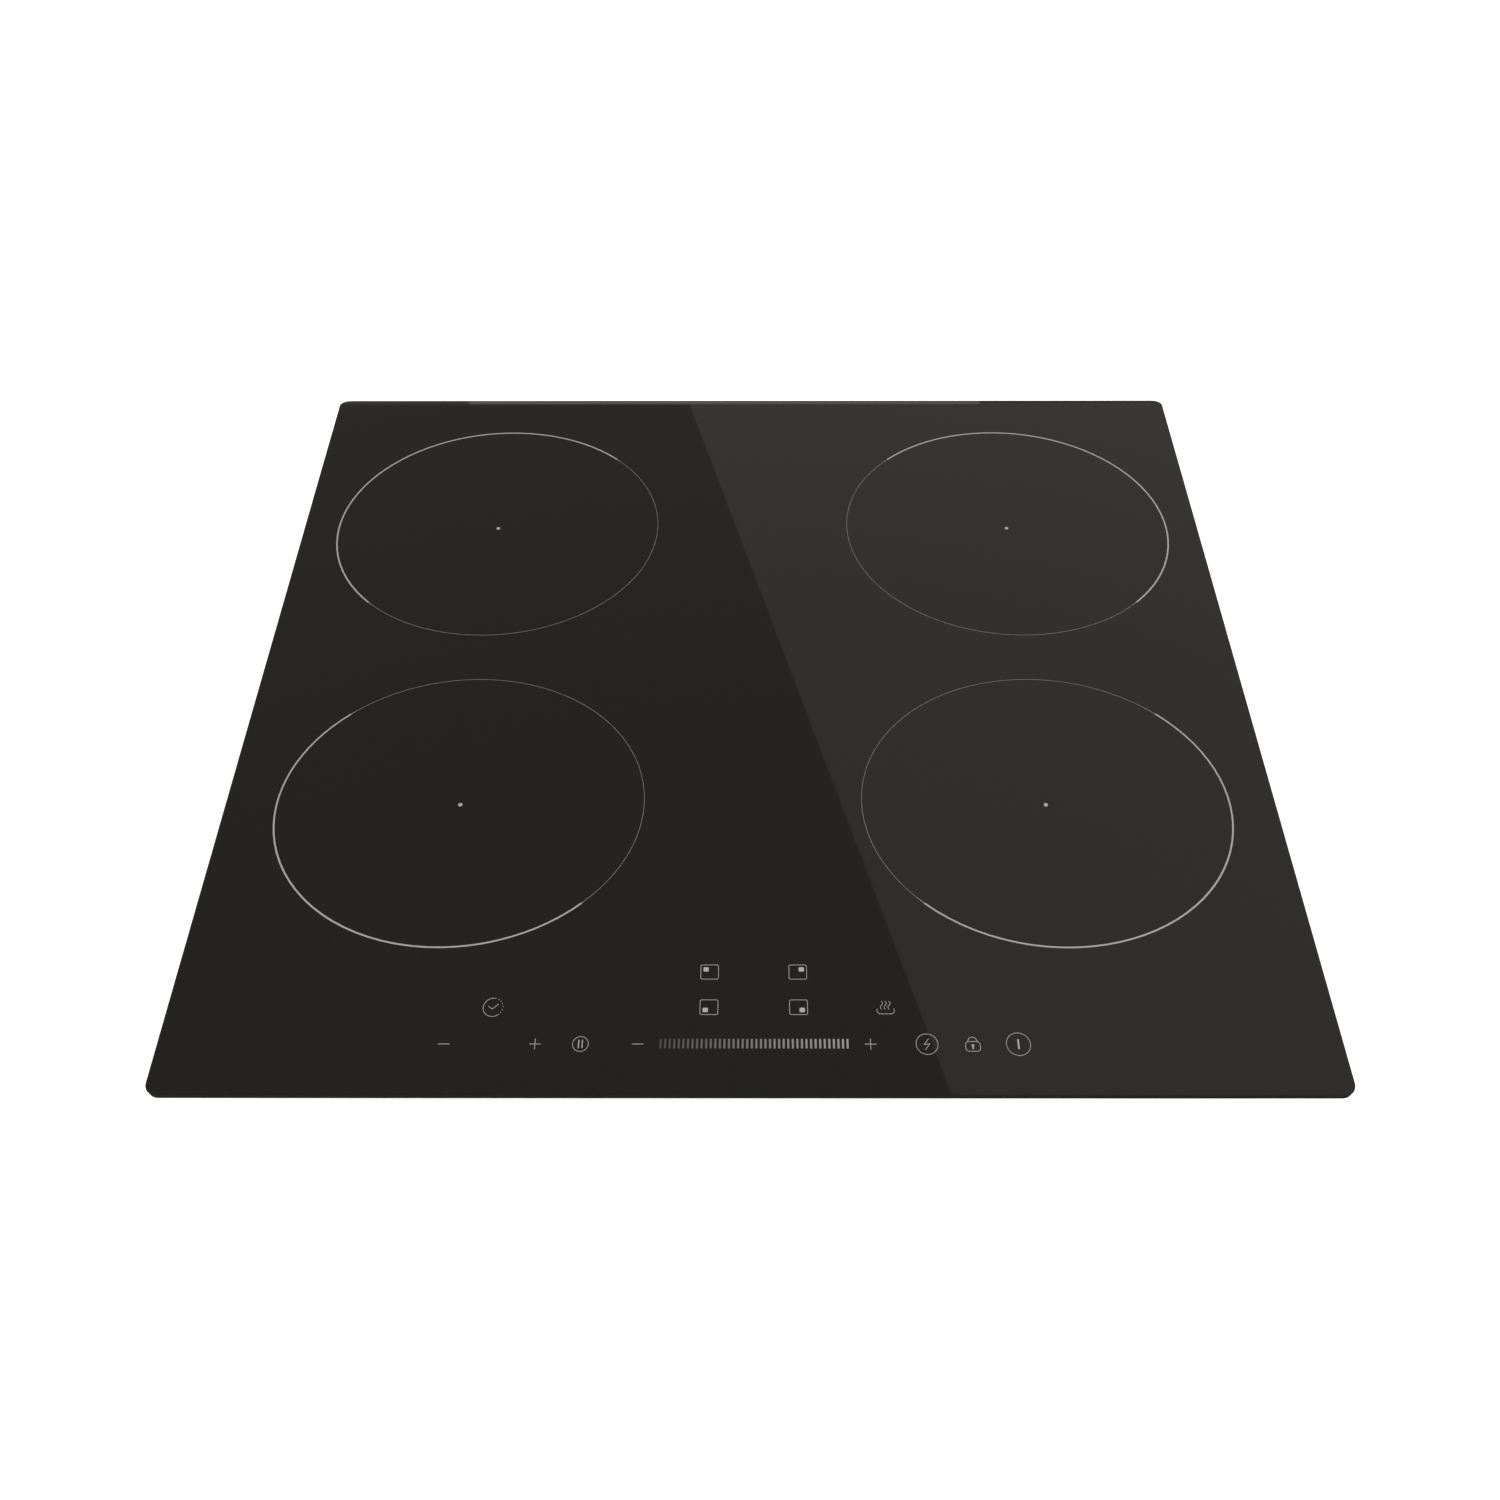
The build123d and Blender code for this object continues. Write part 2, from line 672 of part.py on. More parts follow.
save(terminal_housing, "terminal_housing")

with BuildPart() as terminal_cover:
    lid_y = (LIP_Y + LID_GAP, LIP_Y + LID_GAP + LID_T)
    block(LID_X, lid_y, LID_Z)
    fillet(terminal_cover.edges().filter_by(Axis.Y).group_by(Axis.Z)[-1], 3)
    for rib in range(4):
        rib_x = LID_X[0] + 12 + rib * 12
        block((rib_x, rib_x + 1.2), (lid_y[1], lid_y[1] + 0.8), (16, 34))
    with BuildSketch(Plane.YZ.offset(LID_X[0])):
        with Locations((HINGE_Y, HINGE_Z)):
            Circle(KNUCKLE_R)
    extrude(amount=LID_X[1] - LID_X[0])
    with BuildSketch(Plane.YZ.offset(LID_X[0])):
        with Locations((HINGE_Y, HINGE_Z)):
            Circle(HINGE_PIN_R + RUNNING_GAP)
    extrude(amount=LID_X[1] - LID_X[0], mode=Mode.SUBTRACT)
    with BuildSketch(rear_plane(LIP_T + LID_GAP + LID_T)):
        with Locations(((LID_X[0] + LID_X[1]) / 2, LID_Z[1] - 3.4)):
            Circle(1.5)
    extrude(amount=LID_T, mode=Mode.SUBTRACT)
save(terminal_cover, "terminal_cover")

lid_screw = pan_head_screw(SCREW_R, LID_T + 1.2, 2.8, 1.0)
with BuildPart() as cover_screw:
    with Locations(Location(((LID_X[0] + LID_X[1]) / 2, lid_y[1], LID_Z[1] - 3.4), TO_REAR)):
        add(lid_screw)
save(cover_screw, "cover_screw")

with BuildPart() as terminal_hinge_pin:
    with BuildSketch(Plane.YZ.offset(LID_X[0] - 3.3)):
        with Locations((HINGE_Y, HINGE_Z)):
            Circle(HINGE_PIN_R)
    extrude(amount=LID_X[1] - LID_X[0] + 6.6)
save(terminal_hinge_pin, "terminal_hinge_pin")

BLOCK_X = (148.2, 148.2 + POLES * POLE_PITCH)
BLOCK_Y = (214.0, 228.0)
BLOCK_Z = (BOX_Z[0] + BOX_WALL, 25.0)
POLE_X = [BLOCK_X[0] + POLE_PITCH * (pole + 0.5) for pole in range(POLES)]
with BuildPart() as terminal_block:
    block(BLOCK_X, BLOCK_Y, BLOCK_Z)
    for pole in range(1, POLES):
        wall_x = BLOCK_X[0] + pole * POLE_PITCH
        block((wall_x - 0.6, wall_x + 0.6), (BLOCK_Y[1], BLOCK_Y[1] + 1.5), (12.0, 15.5))
    with BuildSketch(Plane.XZ.offset(-BLOCK_Y[1])):
        with Locations(*[(x, WIRE_Z) for x in POLE_X]):
            Circle(1.5)
    extrude(amount=8, mode=Mode.SUBTRACT)
    with BuildSketch(Plane.XZ.offset(-BLOCK_Y[0])):
        with Locations(*[(x, WIRE_Z) for x in WIRE_HOLES_X]):
            Circle(1.5)
    extrude(amount=-3, mode=Mode.SUBTRACT)
save(terminal_block, "terminal_block")

LINK_T = 0.8
with BuildPart() as terminal_links:
    for first, last in ((0, 1), (3, 4)):
        block(
            (POLE_X[first] - 3.4, POLE_X[last] + 3.4),
            (BLOCK_Y[1], BLOCK_Y[1] + LINK_T),
            (WIRE_Z - 2.4, WIRE_Z + 2.4),
        )
    with BuildSketch(Plane.XZ.offset(-BLOCK_Y[1])):
        with Locations(*[(x, WIRE_Z) for x in POLE_X]):
            Circle(1.5)
    extrude(amount=-2, mode=Mode.SUBTRACT)
save(terminal_links, "terminal_links")

pole_screw = pan_head_screw(SCREW_R, 6.5, 2.6, 1.6)
with BuildPart() as terminal_screws:
    with Locations(*[Location((x, BLOCK_Y[1] + LINK_T, WIRE_Z), TO_REAR) for x in POLE_X]):
        add(pole_screw)
save(terminal_screws, "terminal_screws")

with BuildPart() as cable_grommet:
    with BuildSketch(rear_plane(LIP_T)):
        with Locations((GROMMET_X, GROMMET_Z)):
            Circle(9.6)
    extrude(amount=-2.6)
    fillet(cable_grommet.faces().sort_by(Axis.Y)[-1].edges(), 1.2)
    with BuildSketch(rear_plane(LIP_T)):
        with Locations((GROMMET_X, GROMMET_Z)):
            Circle(8.0)
    extrude(amount=5.5)
    with BuildSketch(rear_plane(LIP_T + 4)):
        with Locations((GROMMET_X, GROMMET_Z)):
            Circle(CABLE_R)
    extrude(amount=12, mode=Mode.SUBTRACT)
save(cable_grommet, "cable_grommet")

# ---------------------------------------------------------------- fans
COVER_Z = (FAN_TOP_Z - FAN_WALL, FAN_TOP_Z)


def fan_ears(fan_x):
    """Screw places of one fan on the tray floor."""
    return [
        (
            fan_x + FAN_EAR_R * cos(radians(angle)),
            FAN_Y + FAN_EAR_R * sin(radians(angle)),
        )
        for angle in FAN_EAR_ANGLES
    ]


def volute(fan_x, inset):
    """The outline of a fan, a circle with a straight outlet towards the front."""
    with BuildSketch() as outline:
        with Locations((fan_x, FAN_Y)):
            Circle(FAN_BODY_R - inset)
        with Locations((fan_x - FAN_BODY_R + OUTLET_W / 2, FAN_Y - OUTLET_REACH / 2)):
            Rectangle(OUTLET_W - 2 * inset, OUTLET_REACH)
    return outline.sketch


def fan_housing(fan_x):
    """The lower shell of a radial fan, with its inlet in the floor."""
    with BuildPart() as housing:
        with Locations((0, 0, FLOOR_Z)):
            add(extrude(volute(fan_x, 0), amount=COVER_Z[0] - FLOOR_Z, mode=Mode.PRIVATE))
            for ear_x, ear_y in fan_ears(fan_x):
                peg(ear_x, ear_y, (0, 3), 5.0)
        with Locations((0, 0, FLOOR_Z + FAN_WALL)):
            add(
                extrude(volute(fan_x, FAN_WALL), amount=FAN_TOP_Z, mode=Mode.PRIVATE),
                mode=Mode.SUBTRACT,
            )
        outlet_x = fan_x - FAN_BODY_R
        block(
            (outlet_x + FAN_WALL, outlet_x + OUTLET_W - FAN_WALL),
            (FAN_Y - OUTLET_REACH - 1, FAN_Y - OUTLET_REACH + 5),
            (FLOOR_Z + FAN_WALL, FAN_TOP_Z),
            mode=Mode.SUBTRACT,
        )
        peg(fan_x, FAN_Y, (FLOOR_Z, FLOOR_Z + FAN_WALL), FAN_INLET_R, mode=Mode.SUBTRACT)
        for ear_x, ear_y in fan_ears(fan_x):
            peg(ear_x, ear_y, (FLOOR_Z, FLOOR_Z + 3), SCREW_R, mode=Mode.SUBTRACT)
    return housing


def fan_rotor(fan_x):
    """A radial fan wheel whose cup turns round the motor."""
    with BuildPart() as rotor:
        with BuildSketch(Plane.XZ):
            with BuildLine():
                Polyline(
                    (SHAFT_R + RUNNING_GAP, 8.0),
                    (4.0, 8.0),
                    (4.0, 12.0),
                    (17.0, 12.0),
                    (17.0, 22.5),
                    (ROTOR_R, 22.5),
                    (ROTOR_R, 24.0),
                    (15.5, 24.0),
                    (15.5, 13.5),
                    (SHAFT_R + RUNNING_GAP, 13.5),
                    close=True,
                )
            make_face()
            with BuildLine():
                Polyline(
                    (31.0, 5.0),
                    (ROTOR_R, 5.0),
                    (ROTOR_R, 6.5),
                    (31.0, 6.5),
                    close=True,
                )
            make_face()
        revolve(axis=Axis.Z)
        with BuildSketch(Plane.XY.offset(5.0)):
            with PolarLocations(31.5, ROTOR_BLADES):
                Rectangle(8.4, 0.9, rotation=30)
        extrude(amount=17.5)
    with BuildPart() as placed:
        with Locations((fan_x, FAN_Y, 0)):
            add(rotor.part)
    return placed


for fan_x, side_name in zip(FAN_X, ("left", "right")):
    save(fan_housing(fan_x), f"fan_housing_{side_name}")
    save(fan_rotor(fan_x), f"fan_rotor_{side_name}")

with BuildPart() as fan_covers:
    for fan_x in FAN_X:
        with Locations((0, 0, COVER_Z[0])):
            add(extrude(volute(fan_x, 0), amount=FAN_WALL, mode=Mode.PRIVATE))
save(fan_covers, "fan_covers")

with BuildPart() as fan_motors:
    for fan_x in FAN_X:
        peg(fan_x, FAN_Y, (14.5, COVER_Z[0]), 14.0)
        with BuildSketch(Plane.XY.offset(14.5)):
            with Locations((fan_x, FAN_Y)):
                with PolarLocations(12.5, 6):
                    Rectangle(6, 2.4)
        extrude(amount=11, mode=Mode.SUBTRACT)
        peg(fan_x, FAN_Y, (6.0, 14.5), SHAFT_R)
save(fan_motors, "fan_motors")

with BuildPart() as shaft_clips:
    for fan_x in FAN_X:
        peg(fan_x, FAN_Y, (6.6, 7.4), 3.2)
        peg(fan_x, FAN_Y, (6.6, 7.4), SHAFT_R, mode=Mode.SUBTRACT)
save(shaft_clips, "shaft_clips")

fan_screw = pan_head_screw(SCREW_R, 3.0, 2.8, 1.8)
with BuildPart() as fan_screws:
    for fan_x in FAN_X:
        with Locations(*[(x, y, FLOOR_Z + 3) for x, y in fan_ears(fan_x)]):
            add(fan_screw)
save(fan_screws, "fan_screws")

# ---------------------------------------------------------------- coils
with BuildPart() as mica_sheets:
    with BuildSketch(Plane.XY.offset(GLASS_Z - MICA_T)):
        with Locations(*ZONES.values()):
            Circle(MICA_R)
            Circle(7.0, mode=Mode.SUBTRACT)
    extrude(amount=MICA_T)
save(mica_sheets, "mica_sheets")


def coil_winding():
    """A flat litz winding at the origin; each turn swells out of both faces."""
    turn_w = (COIL_R_OUT - COIL_R_IN) / COIL_TURNS
    groove = 0.6
    low, high = COIL_Z
    with BuildPart() as winding:
        with BuildSketch(Plane.XZ):
            with BuildLine():
                for turn in range(COIL_TURNS):
                    start = COIL_R_IN + turn * turn_w
                    ThreePointArc(
                        (start, high - groove),
                        (start + turn_w / 2, high),
                        (start + turn_w, high - groove),
                    )
                    ThreePointArc(
                        (start, low + groove),
                        (start + turn_w / 2, low),
                        (start + turn_w, low + groove),
                    )
                Line((COIL_R_IN, low + groove), (COIL_R_IN, high - groove))
                Line((COIL_R_OUT, low + groove), (COIL_R_OUT, high - groove))
            make_face()
        revolve(axis=Axis.Z)
    return winding.part


winding_shape = coil_winding()
for zone_name, (zone_x, zone_y) in ZONES.items():
    with BuildPart() as coil:
        with Locations((zone_x, zone_y, 0)):
            add(winding_shape)
    save(coil, f"coil_{zone_name}")

BARS = 8
WINDOW_R = (34.0, 62.0)
with BuildPart() as coil_carriers:
    for zone_x, zone_y in ZONES.values():
        with BuildSketch(Plane.XY.offset(CARRIER_Z[0])):
            with Locations((zone_x, zone_y)):
                Circle(CARRIER_R)
                Circle(3.0, mode=Mode.SUBTRACT)
                with PolarLocations((WINDOW_R[0] + WINDOW_R[1]) / 2, BARS, start_angle=22.5):
                    RectangleRounded(WINDOW_R[1] - WINDOW_R[0], 18, 4, mode=Mode.SUBTRACT)
        extrude(amount=CARRIER_Z[1] - CARRIER_Z[0])
save(coil_carriers, "coil_carriers")

with BuildPart() as ferrite_bars:
    with BuildSketch(Plane.XY.offset(FERRITE_Z[0])):
        for zone_x, zone_y in ZONES.values():
            with Locations((zone_x, zone_y)):
                with PolarLocations(54, BARS):
                    Rectangle(46, 14)
    extrude(amount=FERRITE_Z[1] - FERRITE_Z[0])
save(ferrite_bars, "ferrite_bars")

PAD_ANGLES = (22.5, 157.5, 247.5, 292.5)
with BuildPart() as coil_pads:
    for zone_x, zone_y in ZONES.values():
        for angle in PAD_ANGLES:
            pad_x = zone_x + 75 * cos(radians(angle))
            pad_y = zone_y + 75 * sin(radians(angle))
            peg(pad_x, pad_y, (PLATE_Z[1], CARRIER_Z[0]), 4.5)
save(coil_pads, "coil_pads")

with BuildPart() as zone_sensors:
    for zone_x, zone_y in ZONES.values():
        peg(zone_x, zone_y, (43.0, 48.0), 2.5)
        peg(zone_x, zone_y, (CARRIER_Z[1], GLASS_Z), 4.5)
save(zone_sensors, "zone_sensors")


def lead_places():
    """The hole of each coil's lead: its x, its y and the sign of its side."""
    for zone_x, zone_y in ZONES.values():
        side = 1 if zone_x > 0 else -1
        yield zone_x - side * LEAD_OFFSET[0], zone_y + LEAD_OFFSET[1], side


with BuildPart() as coil_plates:
    for side in (-1, 1):
        with BuildSketch(Plane.XY.offset(PLATE_Z[0])):
            plate_centre = (side * (PLATE_X[0] + PLATE_X[1]) / 2, (PLATE_Y[0] + PLATE_Y[1]) / 2)
            with Locations(plate_centre):
                RectangleRounded(PLATE_X[1] - PLATE_X[0], PLATE_Y[1] - PLATE_Y[0], 8)
            with Locations(*[(side * x, y) for x, y in PLATE_POSTS]):
                Circle(SCREW_R, mode=Mode.SUBTRACT)
            with Locations(*[(x, y) for x, y, its_side in lead_places() if its_side == side]):
                SlotOverall(20, 12, mode=Mode.SUBTRACT)
            with Locations((side * 120, 22)):
                with GridLocations(16, 0, 9, 1):
                    SlotOverall(24, 7, rotation=90, mode=Mode.SUBTRACT)
        extrude(amount=PLATE_Z[1] - PLATE_Z[0])
save(coil_plates, "coil_plates")

ALL_POSTS = [(side * x, y) for side in (-1, 1) for x, y in PLATE_POSTS]
with BuildPart() as plate_posts:
    for post_x, post_y in ALL_POSTS:
        with BuildSketch(Plane.XY.offset(FLOOR_Z)):
            with Locations((post_x, post_y)):
                RegularPolygon(5.0, 6)
                Circle(SCREW_R, mode=Mode.SUBTRACT)
        extrude(amount=PLATE_Z[0] - FLOOR_Z)
save(plate_posts, "plate_posts")

plate_screw = pan_head_screw(SCREW_R, 8.0, 2.8, 1.8)
with BuildPart() as plate_screws:
    with Locations(*[(x, y, PLATE_Z[1]) for x, y in ALL_POSTS]):
        add(plate_screw)
save(plate_screws, "plate_screws")

# ---------------------------------------------------------------- circuit boards
STANDOFFS = [
    *[(side * x, y) for side in (-1, 1) for x in (31.0, 130.0, 229.0) for y in (-114.0, 94.0)],
    *[(x, y) for x in (141.0, 229.0) for y in (121.0, 189.0)],
]


def circuit_board(x, y, z, places):
    """A board with mounting holes, between limits in x and y."""
    with BuildPart() as board:
        with BuildSketch(Plane.XY.offset(z)):
            with Locations(((x[0] + x[1]) / 2, (y[0] + y[1]) / 2)):
                RectangleRounded(x[1] - x[0], y[1] - y[0], 2)
            with Locations(*places):
                Circle(1.6, mode=Mode.SUBTRACT)
        extrude(amount=BOARD_T)
    return board


def within(x, y):
    """The standoffs that lie between limits in x and y."""
    return [(px, py) for px, py in STANDOFFS if x[0] < px < x[1] and y[0] < py < y[1]]


for side, side_name in ((-1, "left"), (1, "right")):
    board_x = sorted((side * POWER_X[0], side * POWER_X[1]))
    board = circuit_board(board_x, POWER_Y, BOARD_Z, within(board_x, POWER_Y))
    with board:
        for connector in range(3):
            plug_x = side * (150 + connector * 26)
            block((plug_x - 9, plug_x + 9), (-116, -106), (BOARD_TOP_Z, BOARD_TOP_Z + 9))
        block((side * 110 - 9, side * 110 + 9), (-40, -22), (BOARD_TOP_Z, BOARD_TOP_Z + 1.4))
    save(board, f"power_board_{side_name}")

filter_board = circuit_board(FILTER_X, FILTER_Y, BOARD_Z, within(FILTER_X, FILTER_Y))
with filter_board:
    block((146, 178), (182, 192), (BOARD_TOP_Z, BOARD_TOP_Z + 9))
save(filter_board, "filter_board")

with BuildPart() as board_standoffs:
    for post_x, post_y in STANDOFFS:
        peg(post_x, post_y, (FLOOR_Z, BOARD_Z), 3.5)
        peg(post_x, post_y, (BOARD_Z, BOARD_Z + 3.2), 1.5)
save(board_standoffs, "board_standoffs")

with BuildPart() as heat_sinks:
    for sink_x in SINK_X:
        with BuildSketch(Plane.XZ.offset(-SINK_Y[0])):
            with Locations((sink_x, BOARD_TOP_Z + 2.5)):
                Rectangle(SINK_W, 5)
            with Locations((sink_x, (BOARD_TOP_Z + SINK_TOP_Z) / 2)):
                with GridLocations((SINK_W - 1.6) / (SINK_FINS - 1), 0, SINK_FINS, 1):
                    Rectangle(1.6, SINK_TOP_Z - BOARD_TOP_Z)
        extrude(amount=SINK_Y[0] - SINK_Y[1])
save(heat_sinks, "heat_sinks")

with BuildPart() as power_transistors:
    for sink_x in SINK_X:
        flank = sink_x + SINK_W / 2
        for place in range(4):
            centre_y = -40 + place * 35
            block((flank, flank + 5), (centre_y - 8, centre_y + 8), (BOARD_TOP_Z + 3, 32))
            for leg in (-5.4, 0, 5.4):
                block(
                    (flank + 2.2, flank + 2.8),
                    (centre_y + leg - 0.6, centre_y + leg + 0.6),
                    (BOARD_TOP_Z, BOARD_TOP_Z + 3),
                )
save(power_transistors, "power_transistors")

with BuildPart() as board_capacitors:
    for side in (-1, 1):
        for place_y in (-88, 28, 60):
            block(
                sorted((side * 200, side * 226)),
                (place_y - 10, place_y + 10),
                (BOARD_TOP_Z, 33.0),
            )
        for place_y in (-92, -66):
            peg(side * 70, place_y - 10, (BOARD_TOP_Z, 34.0), 11.0)
    block((190, 222), (140, 156), (BOARD_TOP_Z, 31.0))
save(board_capacitors, "board_capacitors")


def choke(x, y, radius, height):
    """Add a wound ring that lies flat on its board."""
    with Locations((x, y, BOARD_TOP_Z + height / 2)):
        Cylinder(radius, height)
        Cylinder(radius * 0.42, height, mode=Mode.SUBTRACT)


with BuildPart() as board_chokes:
    for side in (-1, 1):
        choke(side * 212, -48, 14.0, 13.0)
        choke(side * 212, -10, 14.0, 13.0)
    choke(160, 150, 16.0, 18.0)
    rims = board_chokes.edges().filter_by(GeomType.CIRCLE)
    fillet(rims, 3)
save(board_chokes, "board_chokes")

CONTROL_POSTS = [(x, y) for x in (-153.0, -50.0, 50.0, 153.0) for y in (-227.0, -190.0)]
with BuildPart() as control_board:
    with BuildSketch(Plane.XY.offset(CONTROL_Z)):
        with Locations((0, sum(CONTROL_Y) / 2)):
            RectangleRounded(2 * CONTROL_X, CONTROL_Y[1] - CONTROL_Y[0], 2)
    extrude(amount=BOARD_T)
save(control_board, "control_board")

with BuildPart() as control_holder:
    holder_z = (CONTROL_Z - 1.8, CONTROL_Z)
    block((-CONTROL_X - 3, CONTROL_X + 3), (CONTROL_Y[0] - 2, CONTROL_Y[1] + 2), holder_z)
    for column in range(6):
        window_x = -125 + column * 50
        block((window_x - 15, window_x + 15), (-222, -200), holder_z, mode=Mode.SUBTRACT)
    for post_x, post_y in CONTROL_POSTS:
        peg(post_x, post_y, (FLOOR_Z, holder_z[0]), 4.0)
save(control_holder, "control_holder")

TOUCH_KEYS = [
    *[(x, KEY_ROW_Y + 3) for x in (*MINUS_X, *PLUS_X, PAUSE_X, BOOST_X, LOCK_X, ON_OFF_X)],
    (TIMER_X, TIMER_ROW_Y),
    (WARM_X, TIMER_ROW_Y),
    *[(x, y) for x in SELECT_COLUMNS_X for y in SELECT_ROWS_Y],
]
with BuildPart() as touch_springs:
    for key_x, key_y in TOUCH_KEYS:
        peg(key_x, key_y, (CONTROL_Z + BOARD_T, GLASS_Z), 4.0)
        peg(key_x, key_y, (CONTROL_Z + BOARD_T, GLASS_Z), 3.0, mode=Mode.SUBTRACT)
    block((-46, 50), (KEY_ROW_Y - 1, KEY_ROW_Y + 4), (CONTROL_Z + BOARD_T, GLASS_Z))
save(touch_springs, "touch_springs")

with BuildPart() as display_modules:
    for display_x in (-90, -10.5, 45, 110):
        block((display_x - 4, display_x + 4), (-209, -197), (CONTROL_Z + BOARD_T, 51.6))
save(display_modules, "display_modules")

# ---------------------------------------------------------------- wiring
LEAD_R = 1.6
LEAD_RUN_Z = 34.0


def wire(radius, bend, *points):
    """Add a round wire through points, its corners rounded, to the part being built."""
    with BuildLine() as route:
        FilletPolyline(*points, radius=bend)
    start = route.line @ 0
    direction = route.line % 0
    with BuildSketch(Plane(origin=start, z_dir=direction)) as section:
        Circle(radius)
    sweep(section.sketch, path=route.line)


with BuildPart() as coil_leads:
    for lead_x, lead_y, side in lead_places():
        for shift in (-2.5, 2.5):
            x = lead_x + shift
            if lead_y > 0:
                wire(
                    LEAD_R,
                    5.0,
                    (x, lead_y, COIL_Z[0]),
                    (x, lead_y, LEAD_RUN_Z),
                    (x, 85, LEAD_RUN_Z),
                    (x, 85, BOARD_TOP_Z),
                )
            else:
                peg(x, lead_y, (BOARD_TOP_Z, COIL_Z[0]), LEAD_R)
save(coil_leads, "coil_leads")

with BuildPart() as internal_wires:
    # terminal block to filter board
    for x in WIRE_HOLES_X:
        wire(1.5, 4.0, (x, BLOCK_Y[0] + 3, WIRE_Z), (x, 199, WIRE_Z), (x, 188, 19.0), (x, 187, 18.6))
    # filter board to both power boards
    for x in (150.0, 156.0):
        wire(1.5, 4.0, (x, 122, BOARD_TOP_Z), (x, 122, 20), (x, 92, 20), (x, 92, BOARD_TOP_Z))
    for step in (0.0, 5.0):
        wire(
            1.5,
            4.0,
            (142 + step, 132, BOARD_TOP_Z),
            (142 + step, 132, 22),
            (142 + step, 105 + step, 22),
            (-42 - step, 105 + step, 22),
            (-42 - step, 92, 22),
            (-42 - step, 92, BOARD_TOP_Z),
        )
    # fans to their boards
    for fan_x in FAN_X:
        x = fan_x + 38
        wire(1.2, 3.0, (x, 145, FAN_TOP_Z), (x, 145, 34.8), (x, 96, 34.8), (x, 96, BOARD_TOP_Z))
    # touch controls to the left power board
    wire(
        2.0,
        6.0,
        (-40, -192, CONTROL_Z - 1.8),
        (-40, -192, 32),
        (-40, -110, 32),
        (-40, -110, BOARD_TOP_Z),
    )
save(internal_wires, "internal_wires")
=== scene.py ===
import json
from math import cos, pi, radians, sin

import bmesh
import bpy
from mathutils import Matrix, Vector


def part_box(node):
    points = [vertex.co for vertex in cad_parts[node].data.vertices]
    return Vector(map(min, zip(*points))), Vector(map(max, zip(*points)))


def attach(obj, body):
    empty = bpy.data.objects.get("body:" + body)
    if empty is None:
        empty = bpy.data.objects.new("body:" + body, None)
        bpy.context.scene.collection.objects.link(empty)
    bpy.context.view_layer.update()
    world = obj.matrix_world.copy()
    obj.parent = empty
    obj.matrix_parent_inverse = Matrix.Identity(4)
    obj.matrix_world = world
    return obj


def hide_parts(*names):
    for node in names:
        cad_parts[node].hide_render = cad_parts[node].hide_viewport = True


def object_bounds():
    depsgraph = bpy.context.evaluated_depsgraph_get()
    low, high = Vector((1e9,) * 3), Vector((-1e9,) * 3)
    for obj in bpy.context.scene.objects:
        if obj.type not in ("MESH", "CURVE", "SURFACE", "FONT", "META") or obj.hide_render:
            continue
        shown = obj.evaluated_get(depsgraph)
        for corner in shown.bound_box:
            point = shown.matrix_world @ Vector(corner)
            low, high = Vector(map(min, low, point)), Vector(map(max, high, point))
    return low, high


# A built-in induction cooktop. Units are metres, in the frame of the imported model.

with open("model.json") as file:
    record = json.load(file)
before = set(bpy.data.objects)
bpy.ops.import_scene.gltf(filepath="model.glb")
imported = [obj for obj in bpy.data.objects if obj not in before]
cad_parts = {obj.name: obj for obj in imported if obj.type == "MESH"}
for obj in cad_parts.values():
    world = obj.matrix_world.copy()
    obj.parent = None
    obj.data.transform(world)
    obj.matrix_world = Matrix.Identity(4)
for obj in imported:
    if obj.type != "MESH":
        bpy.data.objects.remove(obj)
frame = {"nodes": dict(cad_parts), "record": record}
CAD_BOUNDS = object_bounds()
BODY = "hob"
scene = bpy.context.scene

GLASS_LOW, GLASS_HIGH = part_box("glass_top")
GLASS_TOP = GLASS_HIGH.z
FLOOR_Z = CAD_BOUNDS[0][2]

# Camera: its place, then how far it looks down, how far to the right and how far it leans
CAMERA_PLACE = (0.00145, -0.49715, GLASS_TOP + 0.60894)
CAMERA_PITCH = 53.871
CAMERA_YAW = -0.205
CAMERA_ROLL = -0.168
LENS_MM = 31.271
SENSOR_MM = 36.0

# Room: its light, that of its side walls, and how much of it is left straight below
ROOM_COLOUR = (1.0, 0.965, 0.87, 1)
ROOM_LIGHT = 0.30
SIDE_WALL_LIGHT = 0.95
SHADE_BELOW = 0.27

# Floor: its half size, its gap under the casing and its own light
FLOOR_HALF = 30
FLOOR_GAP = 0.0002
FLOOR_LIGHT = 0.45

# Suns: direction towards the sun, spread in degrees, strength
SUNS = {
    "left_light": ((-0.80, -0.30, 0.51), 50, 1.6),
    "right_light": ((0.80, -0.30, 0.51), 50, 1.6),
    "top_light": ((0.25, -0.12, 1.0), 60, 0.9),
}

# High panel behind: the points of the glass that mirror the two ends of its left edge
PANEL_EDGE_ON_GLASS = ((-0.044, 0.255), (0.098, -0.260))
PANEL_ELEVATION = 53
PANEL_DISTANCE = 3.0
PANEL_SIZE = (5.0, 3.2)
PANEL_LIGHT = 0.25
PANEL_TINT = (1, 0.94, 0.94)

# Low panel behind
STRIP_PLACE = (-0.08, 3.0, 0.85)
STRIP_SIZE = (1.45, 0.5)
STRIP_LIGHT = 0.45
STRIP_TINT = (1, 0.95, 0.92)

# Printed zone marks: mean half width and half depth, and how far out the centres of the front
# and the rear marks lie, as the sum of both distances in those half sizes
MARK_HALF_W = 0.1044
MARK_HALF_D = 0.0920
FRONT_MARKS_OUT = 0.16435 / MARK_HALF_W + 0.0900 / MARK_HALF_D
REAR_MARKS_OUT = 0.16785 / MARK_HALF_W + 0.1294 / MARK_HALF_D

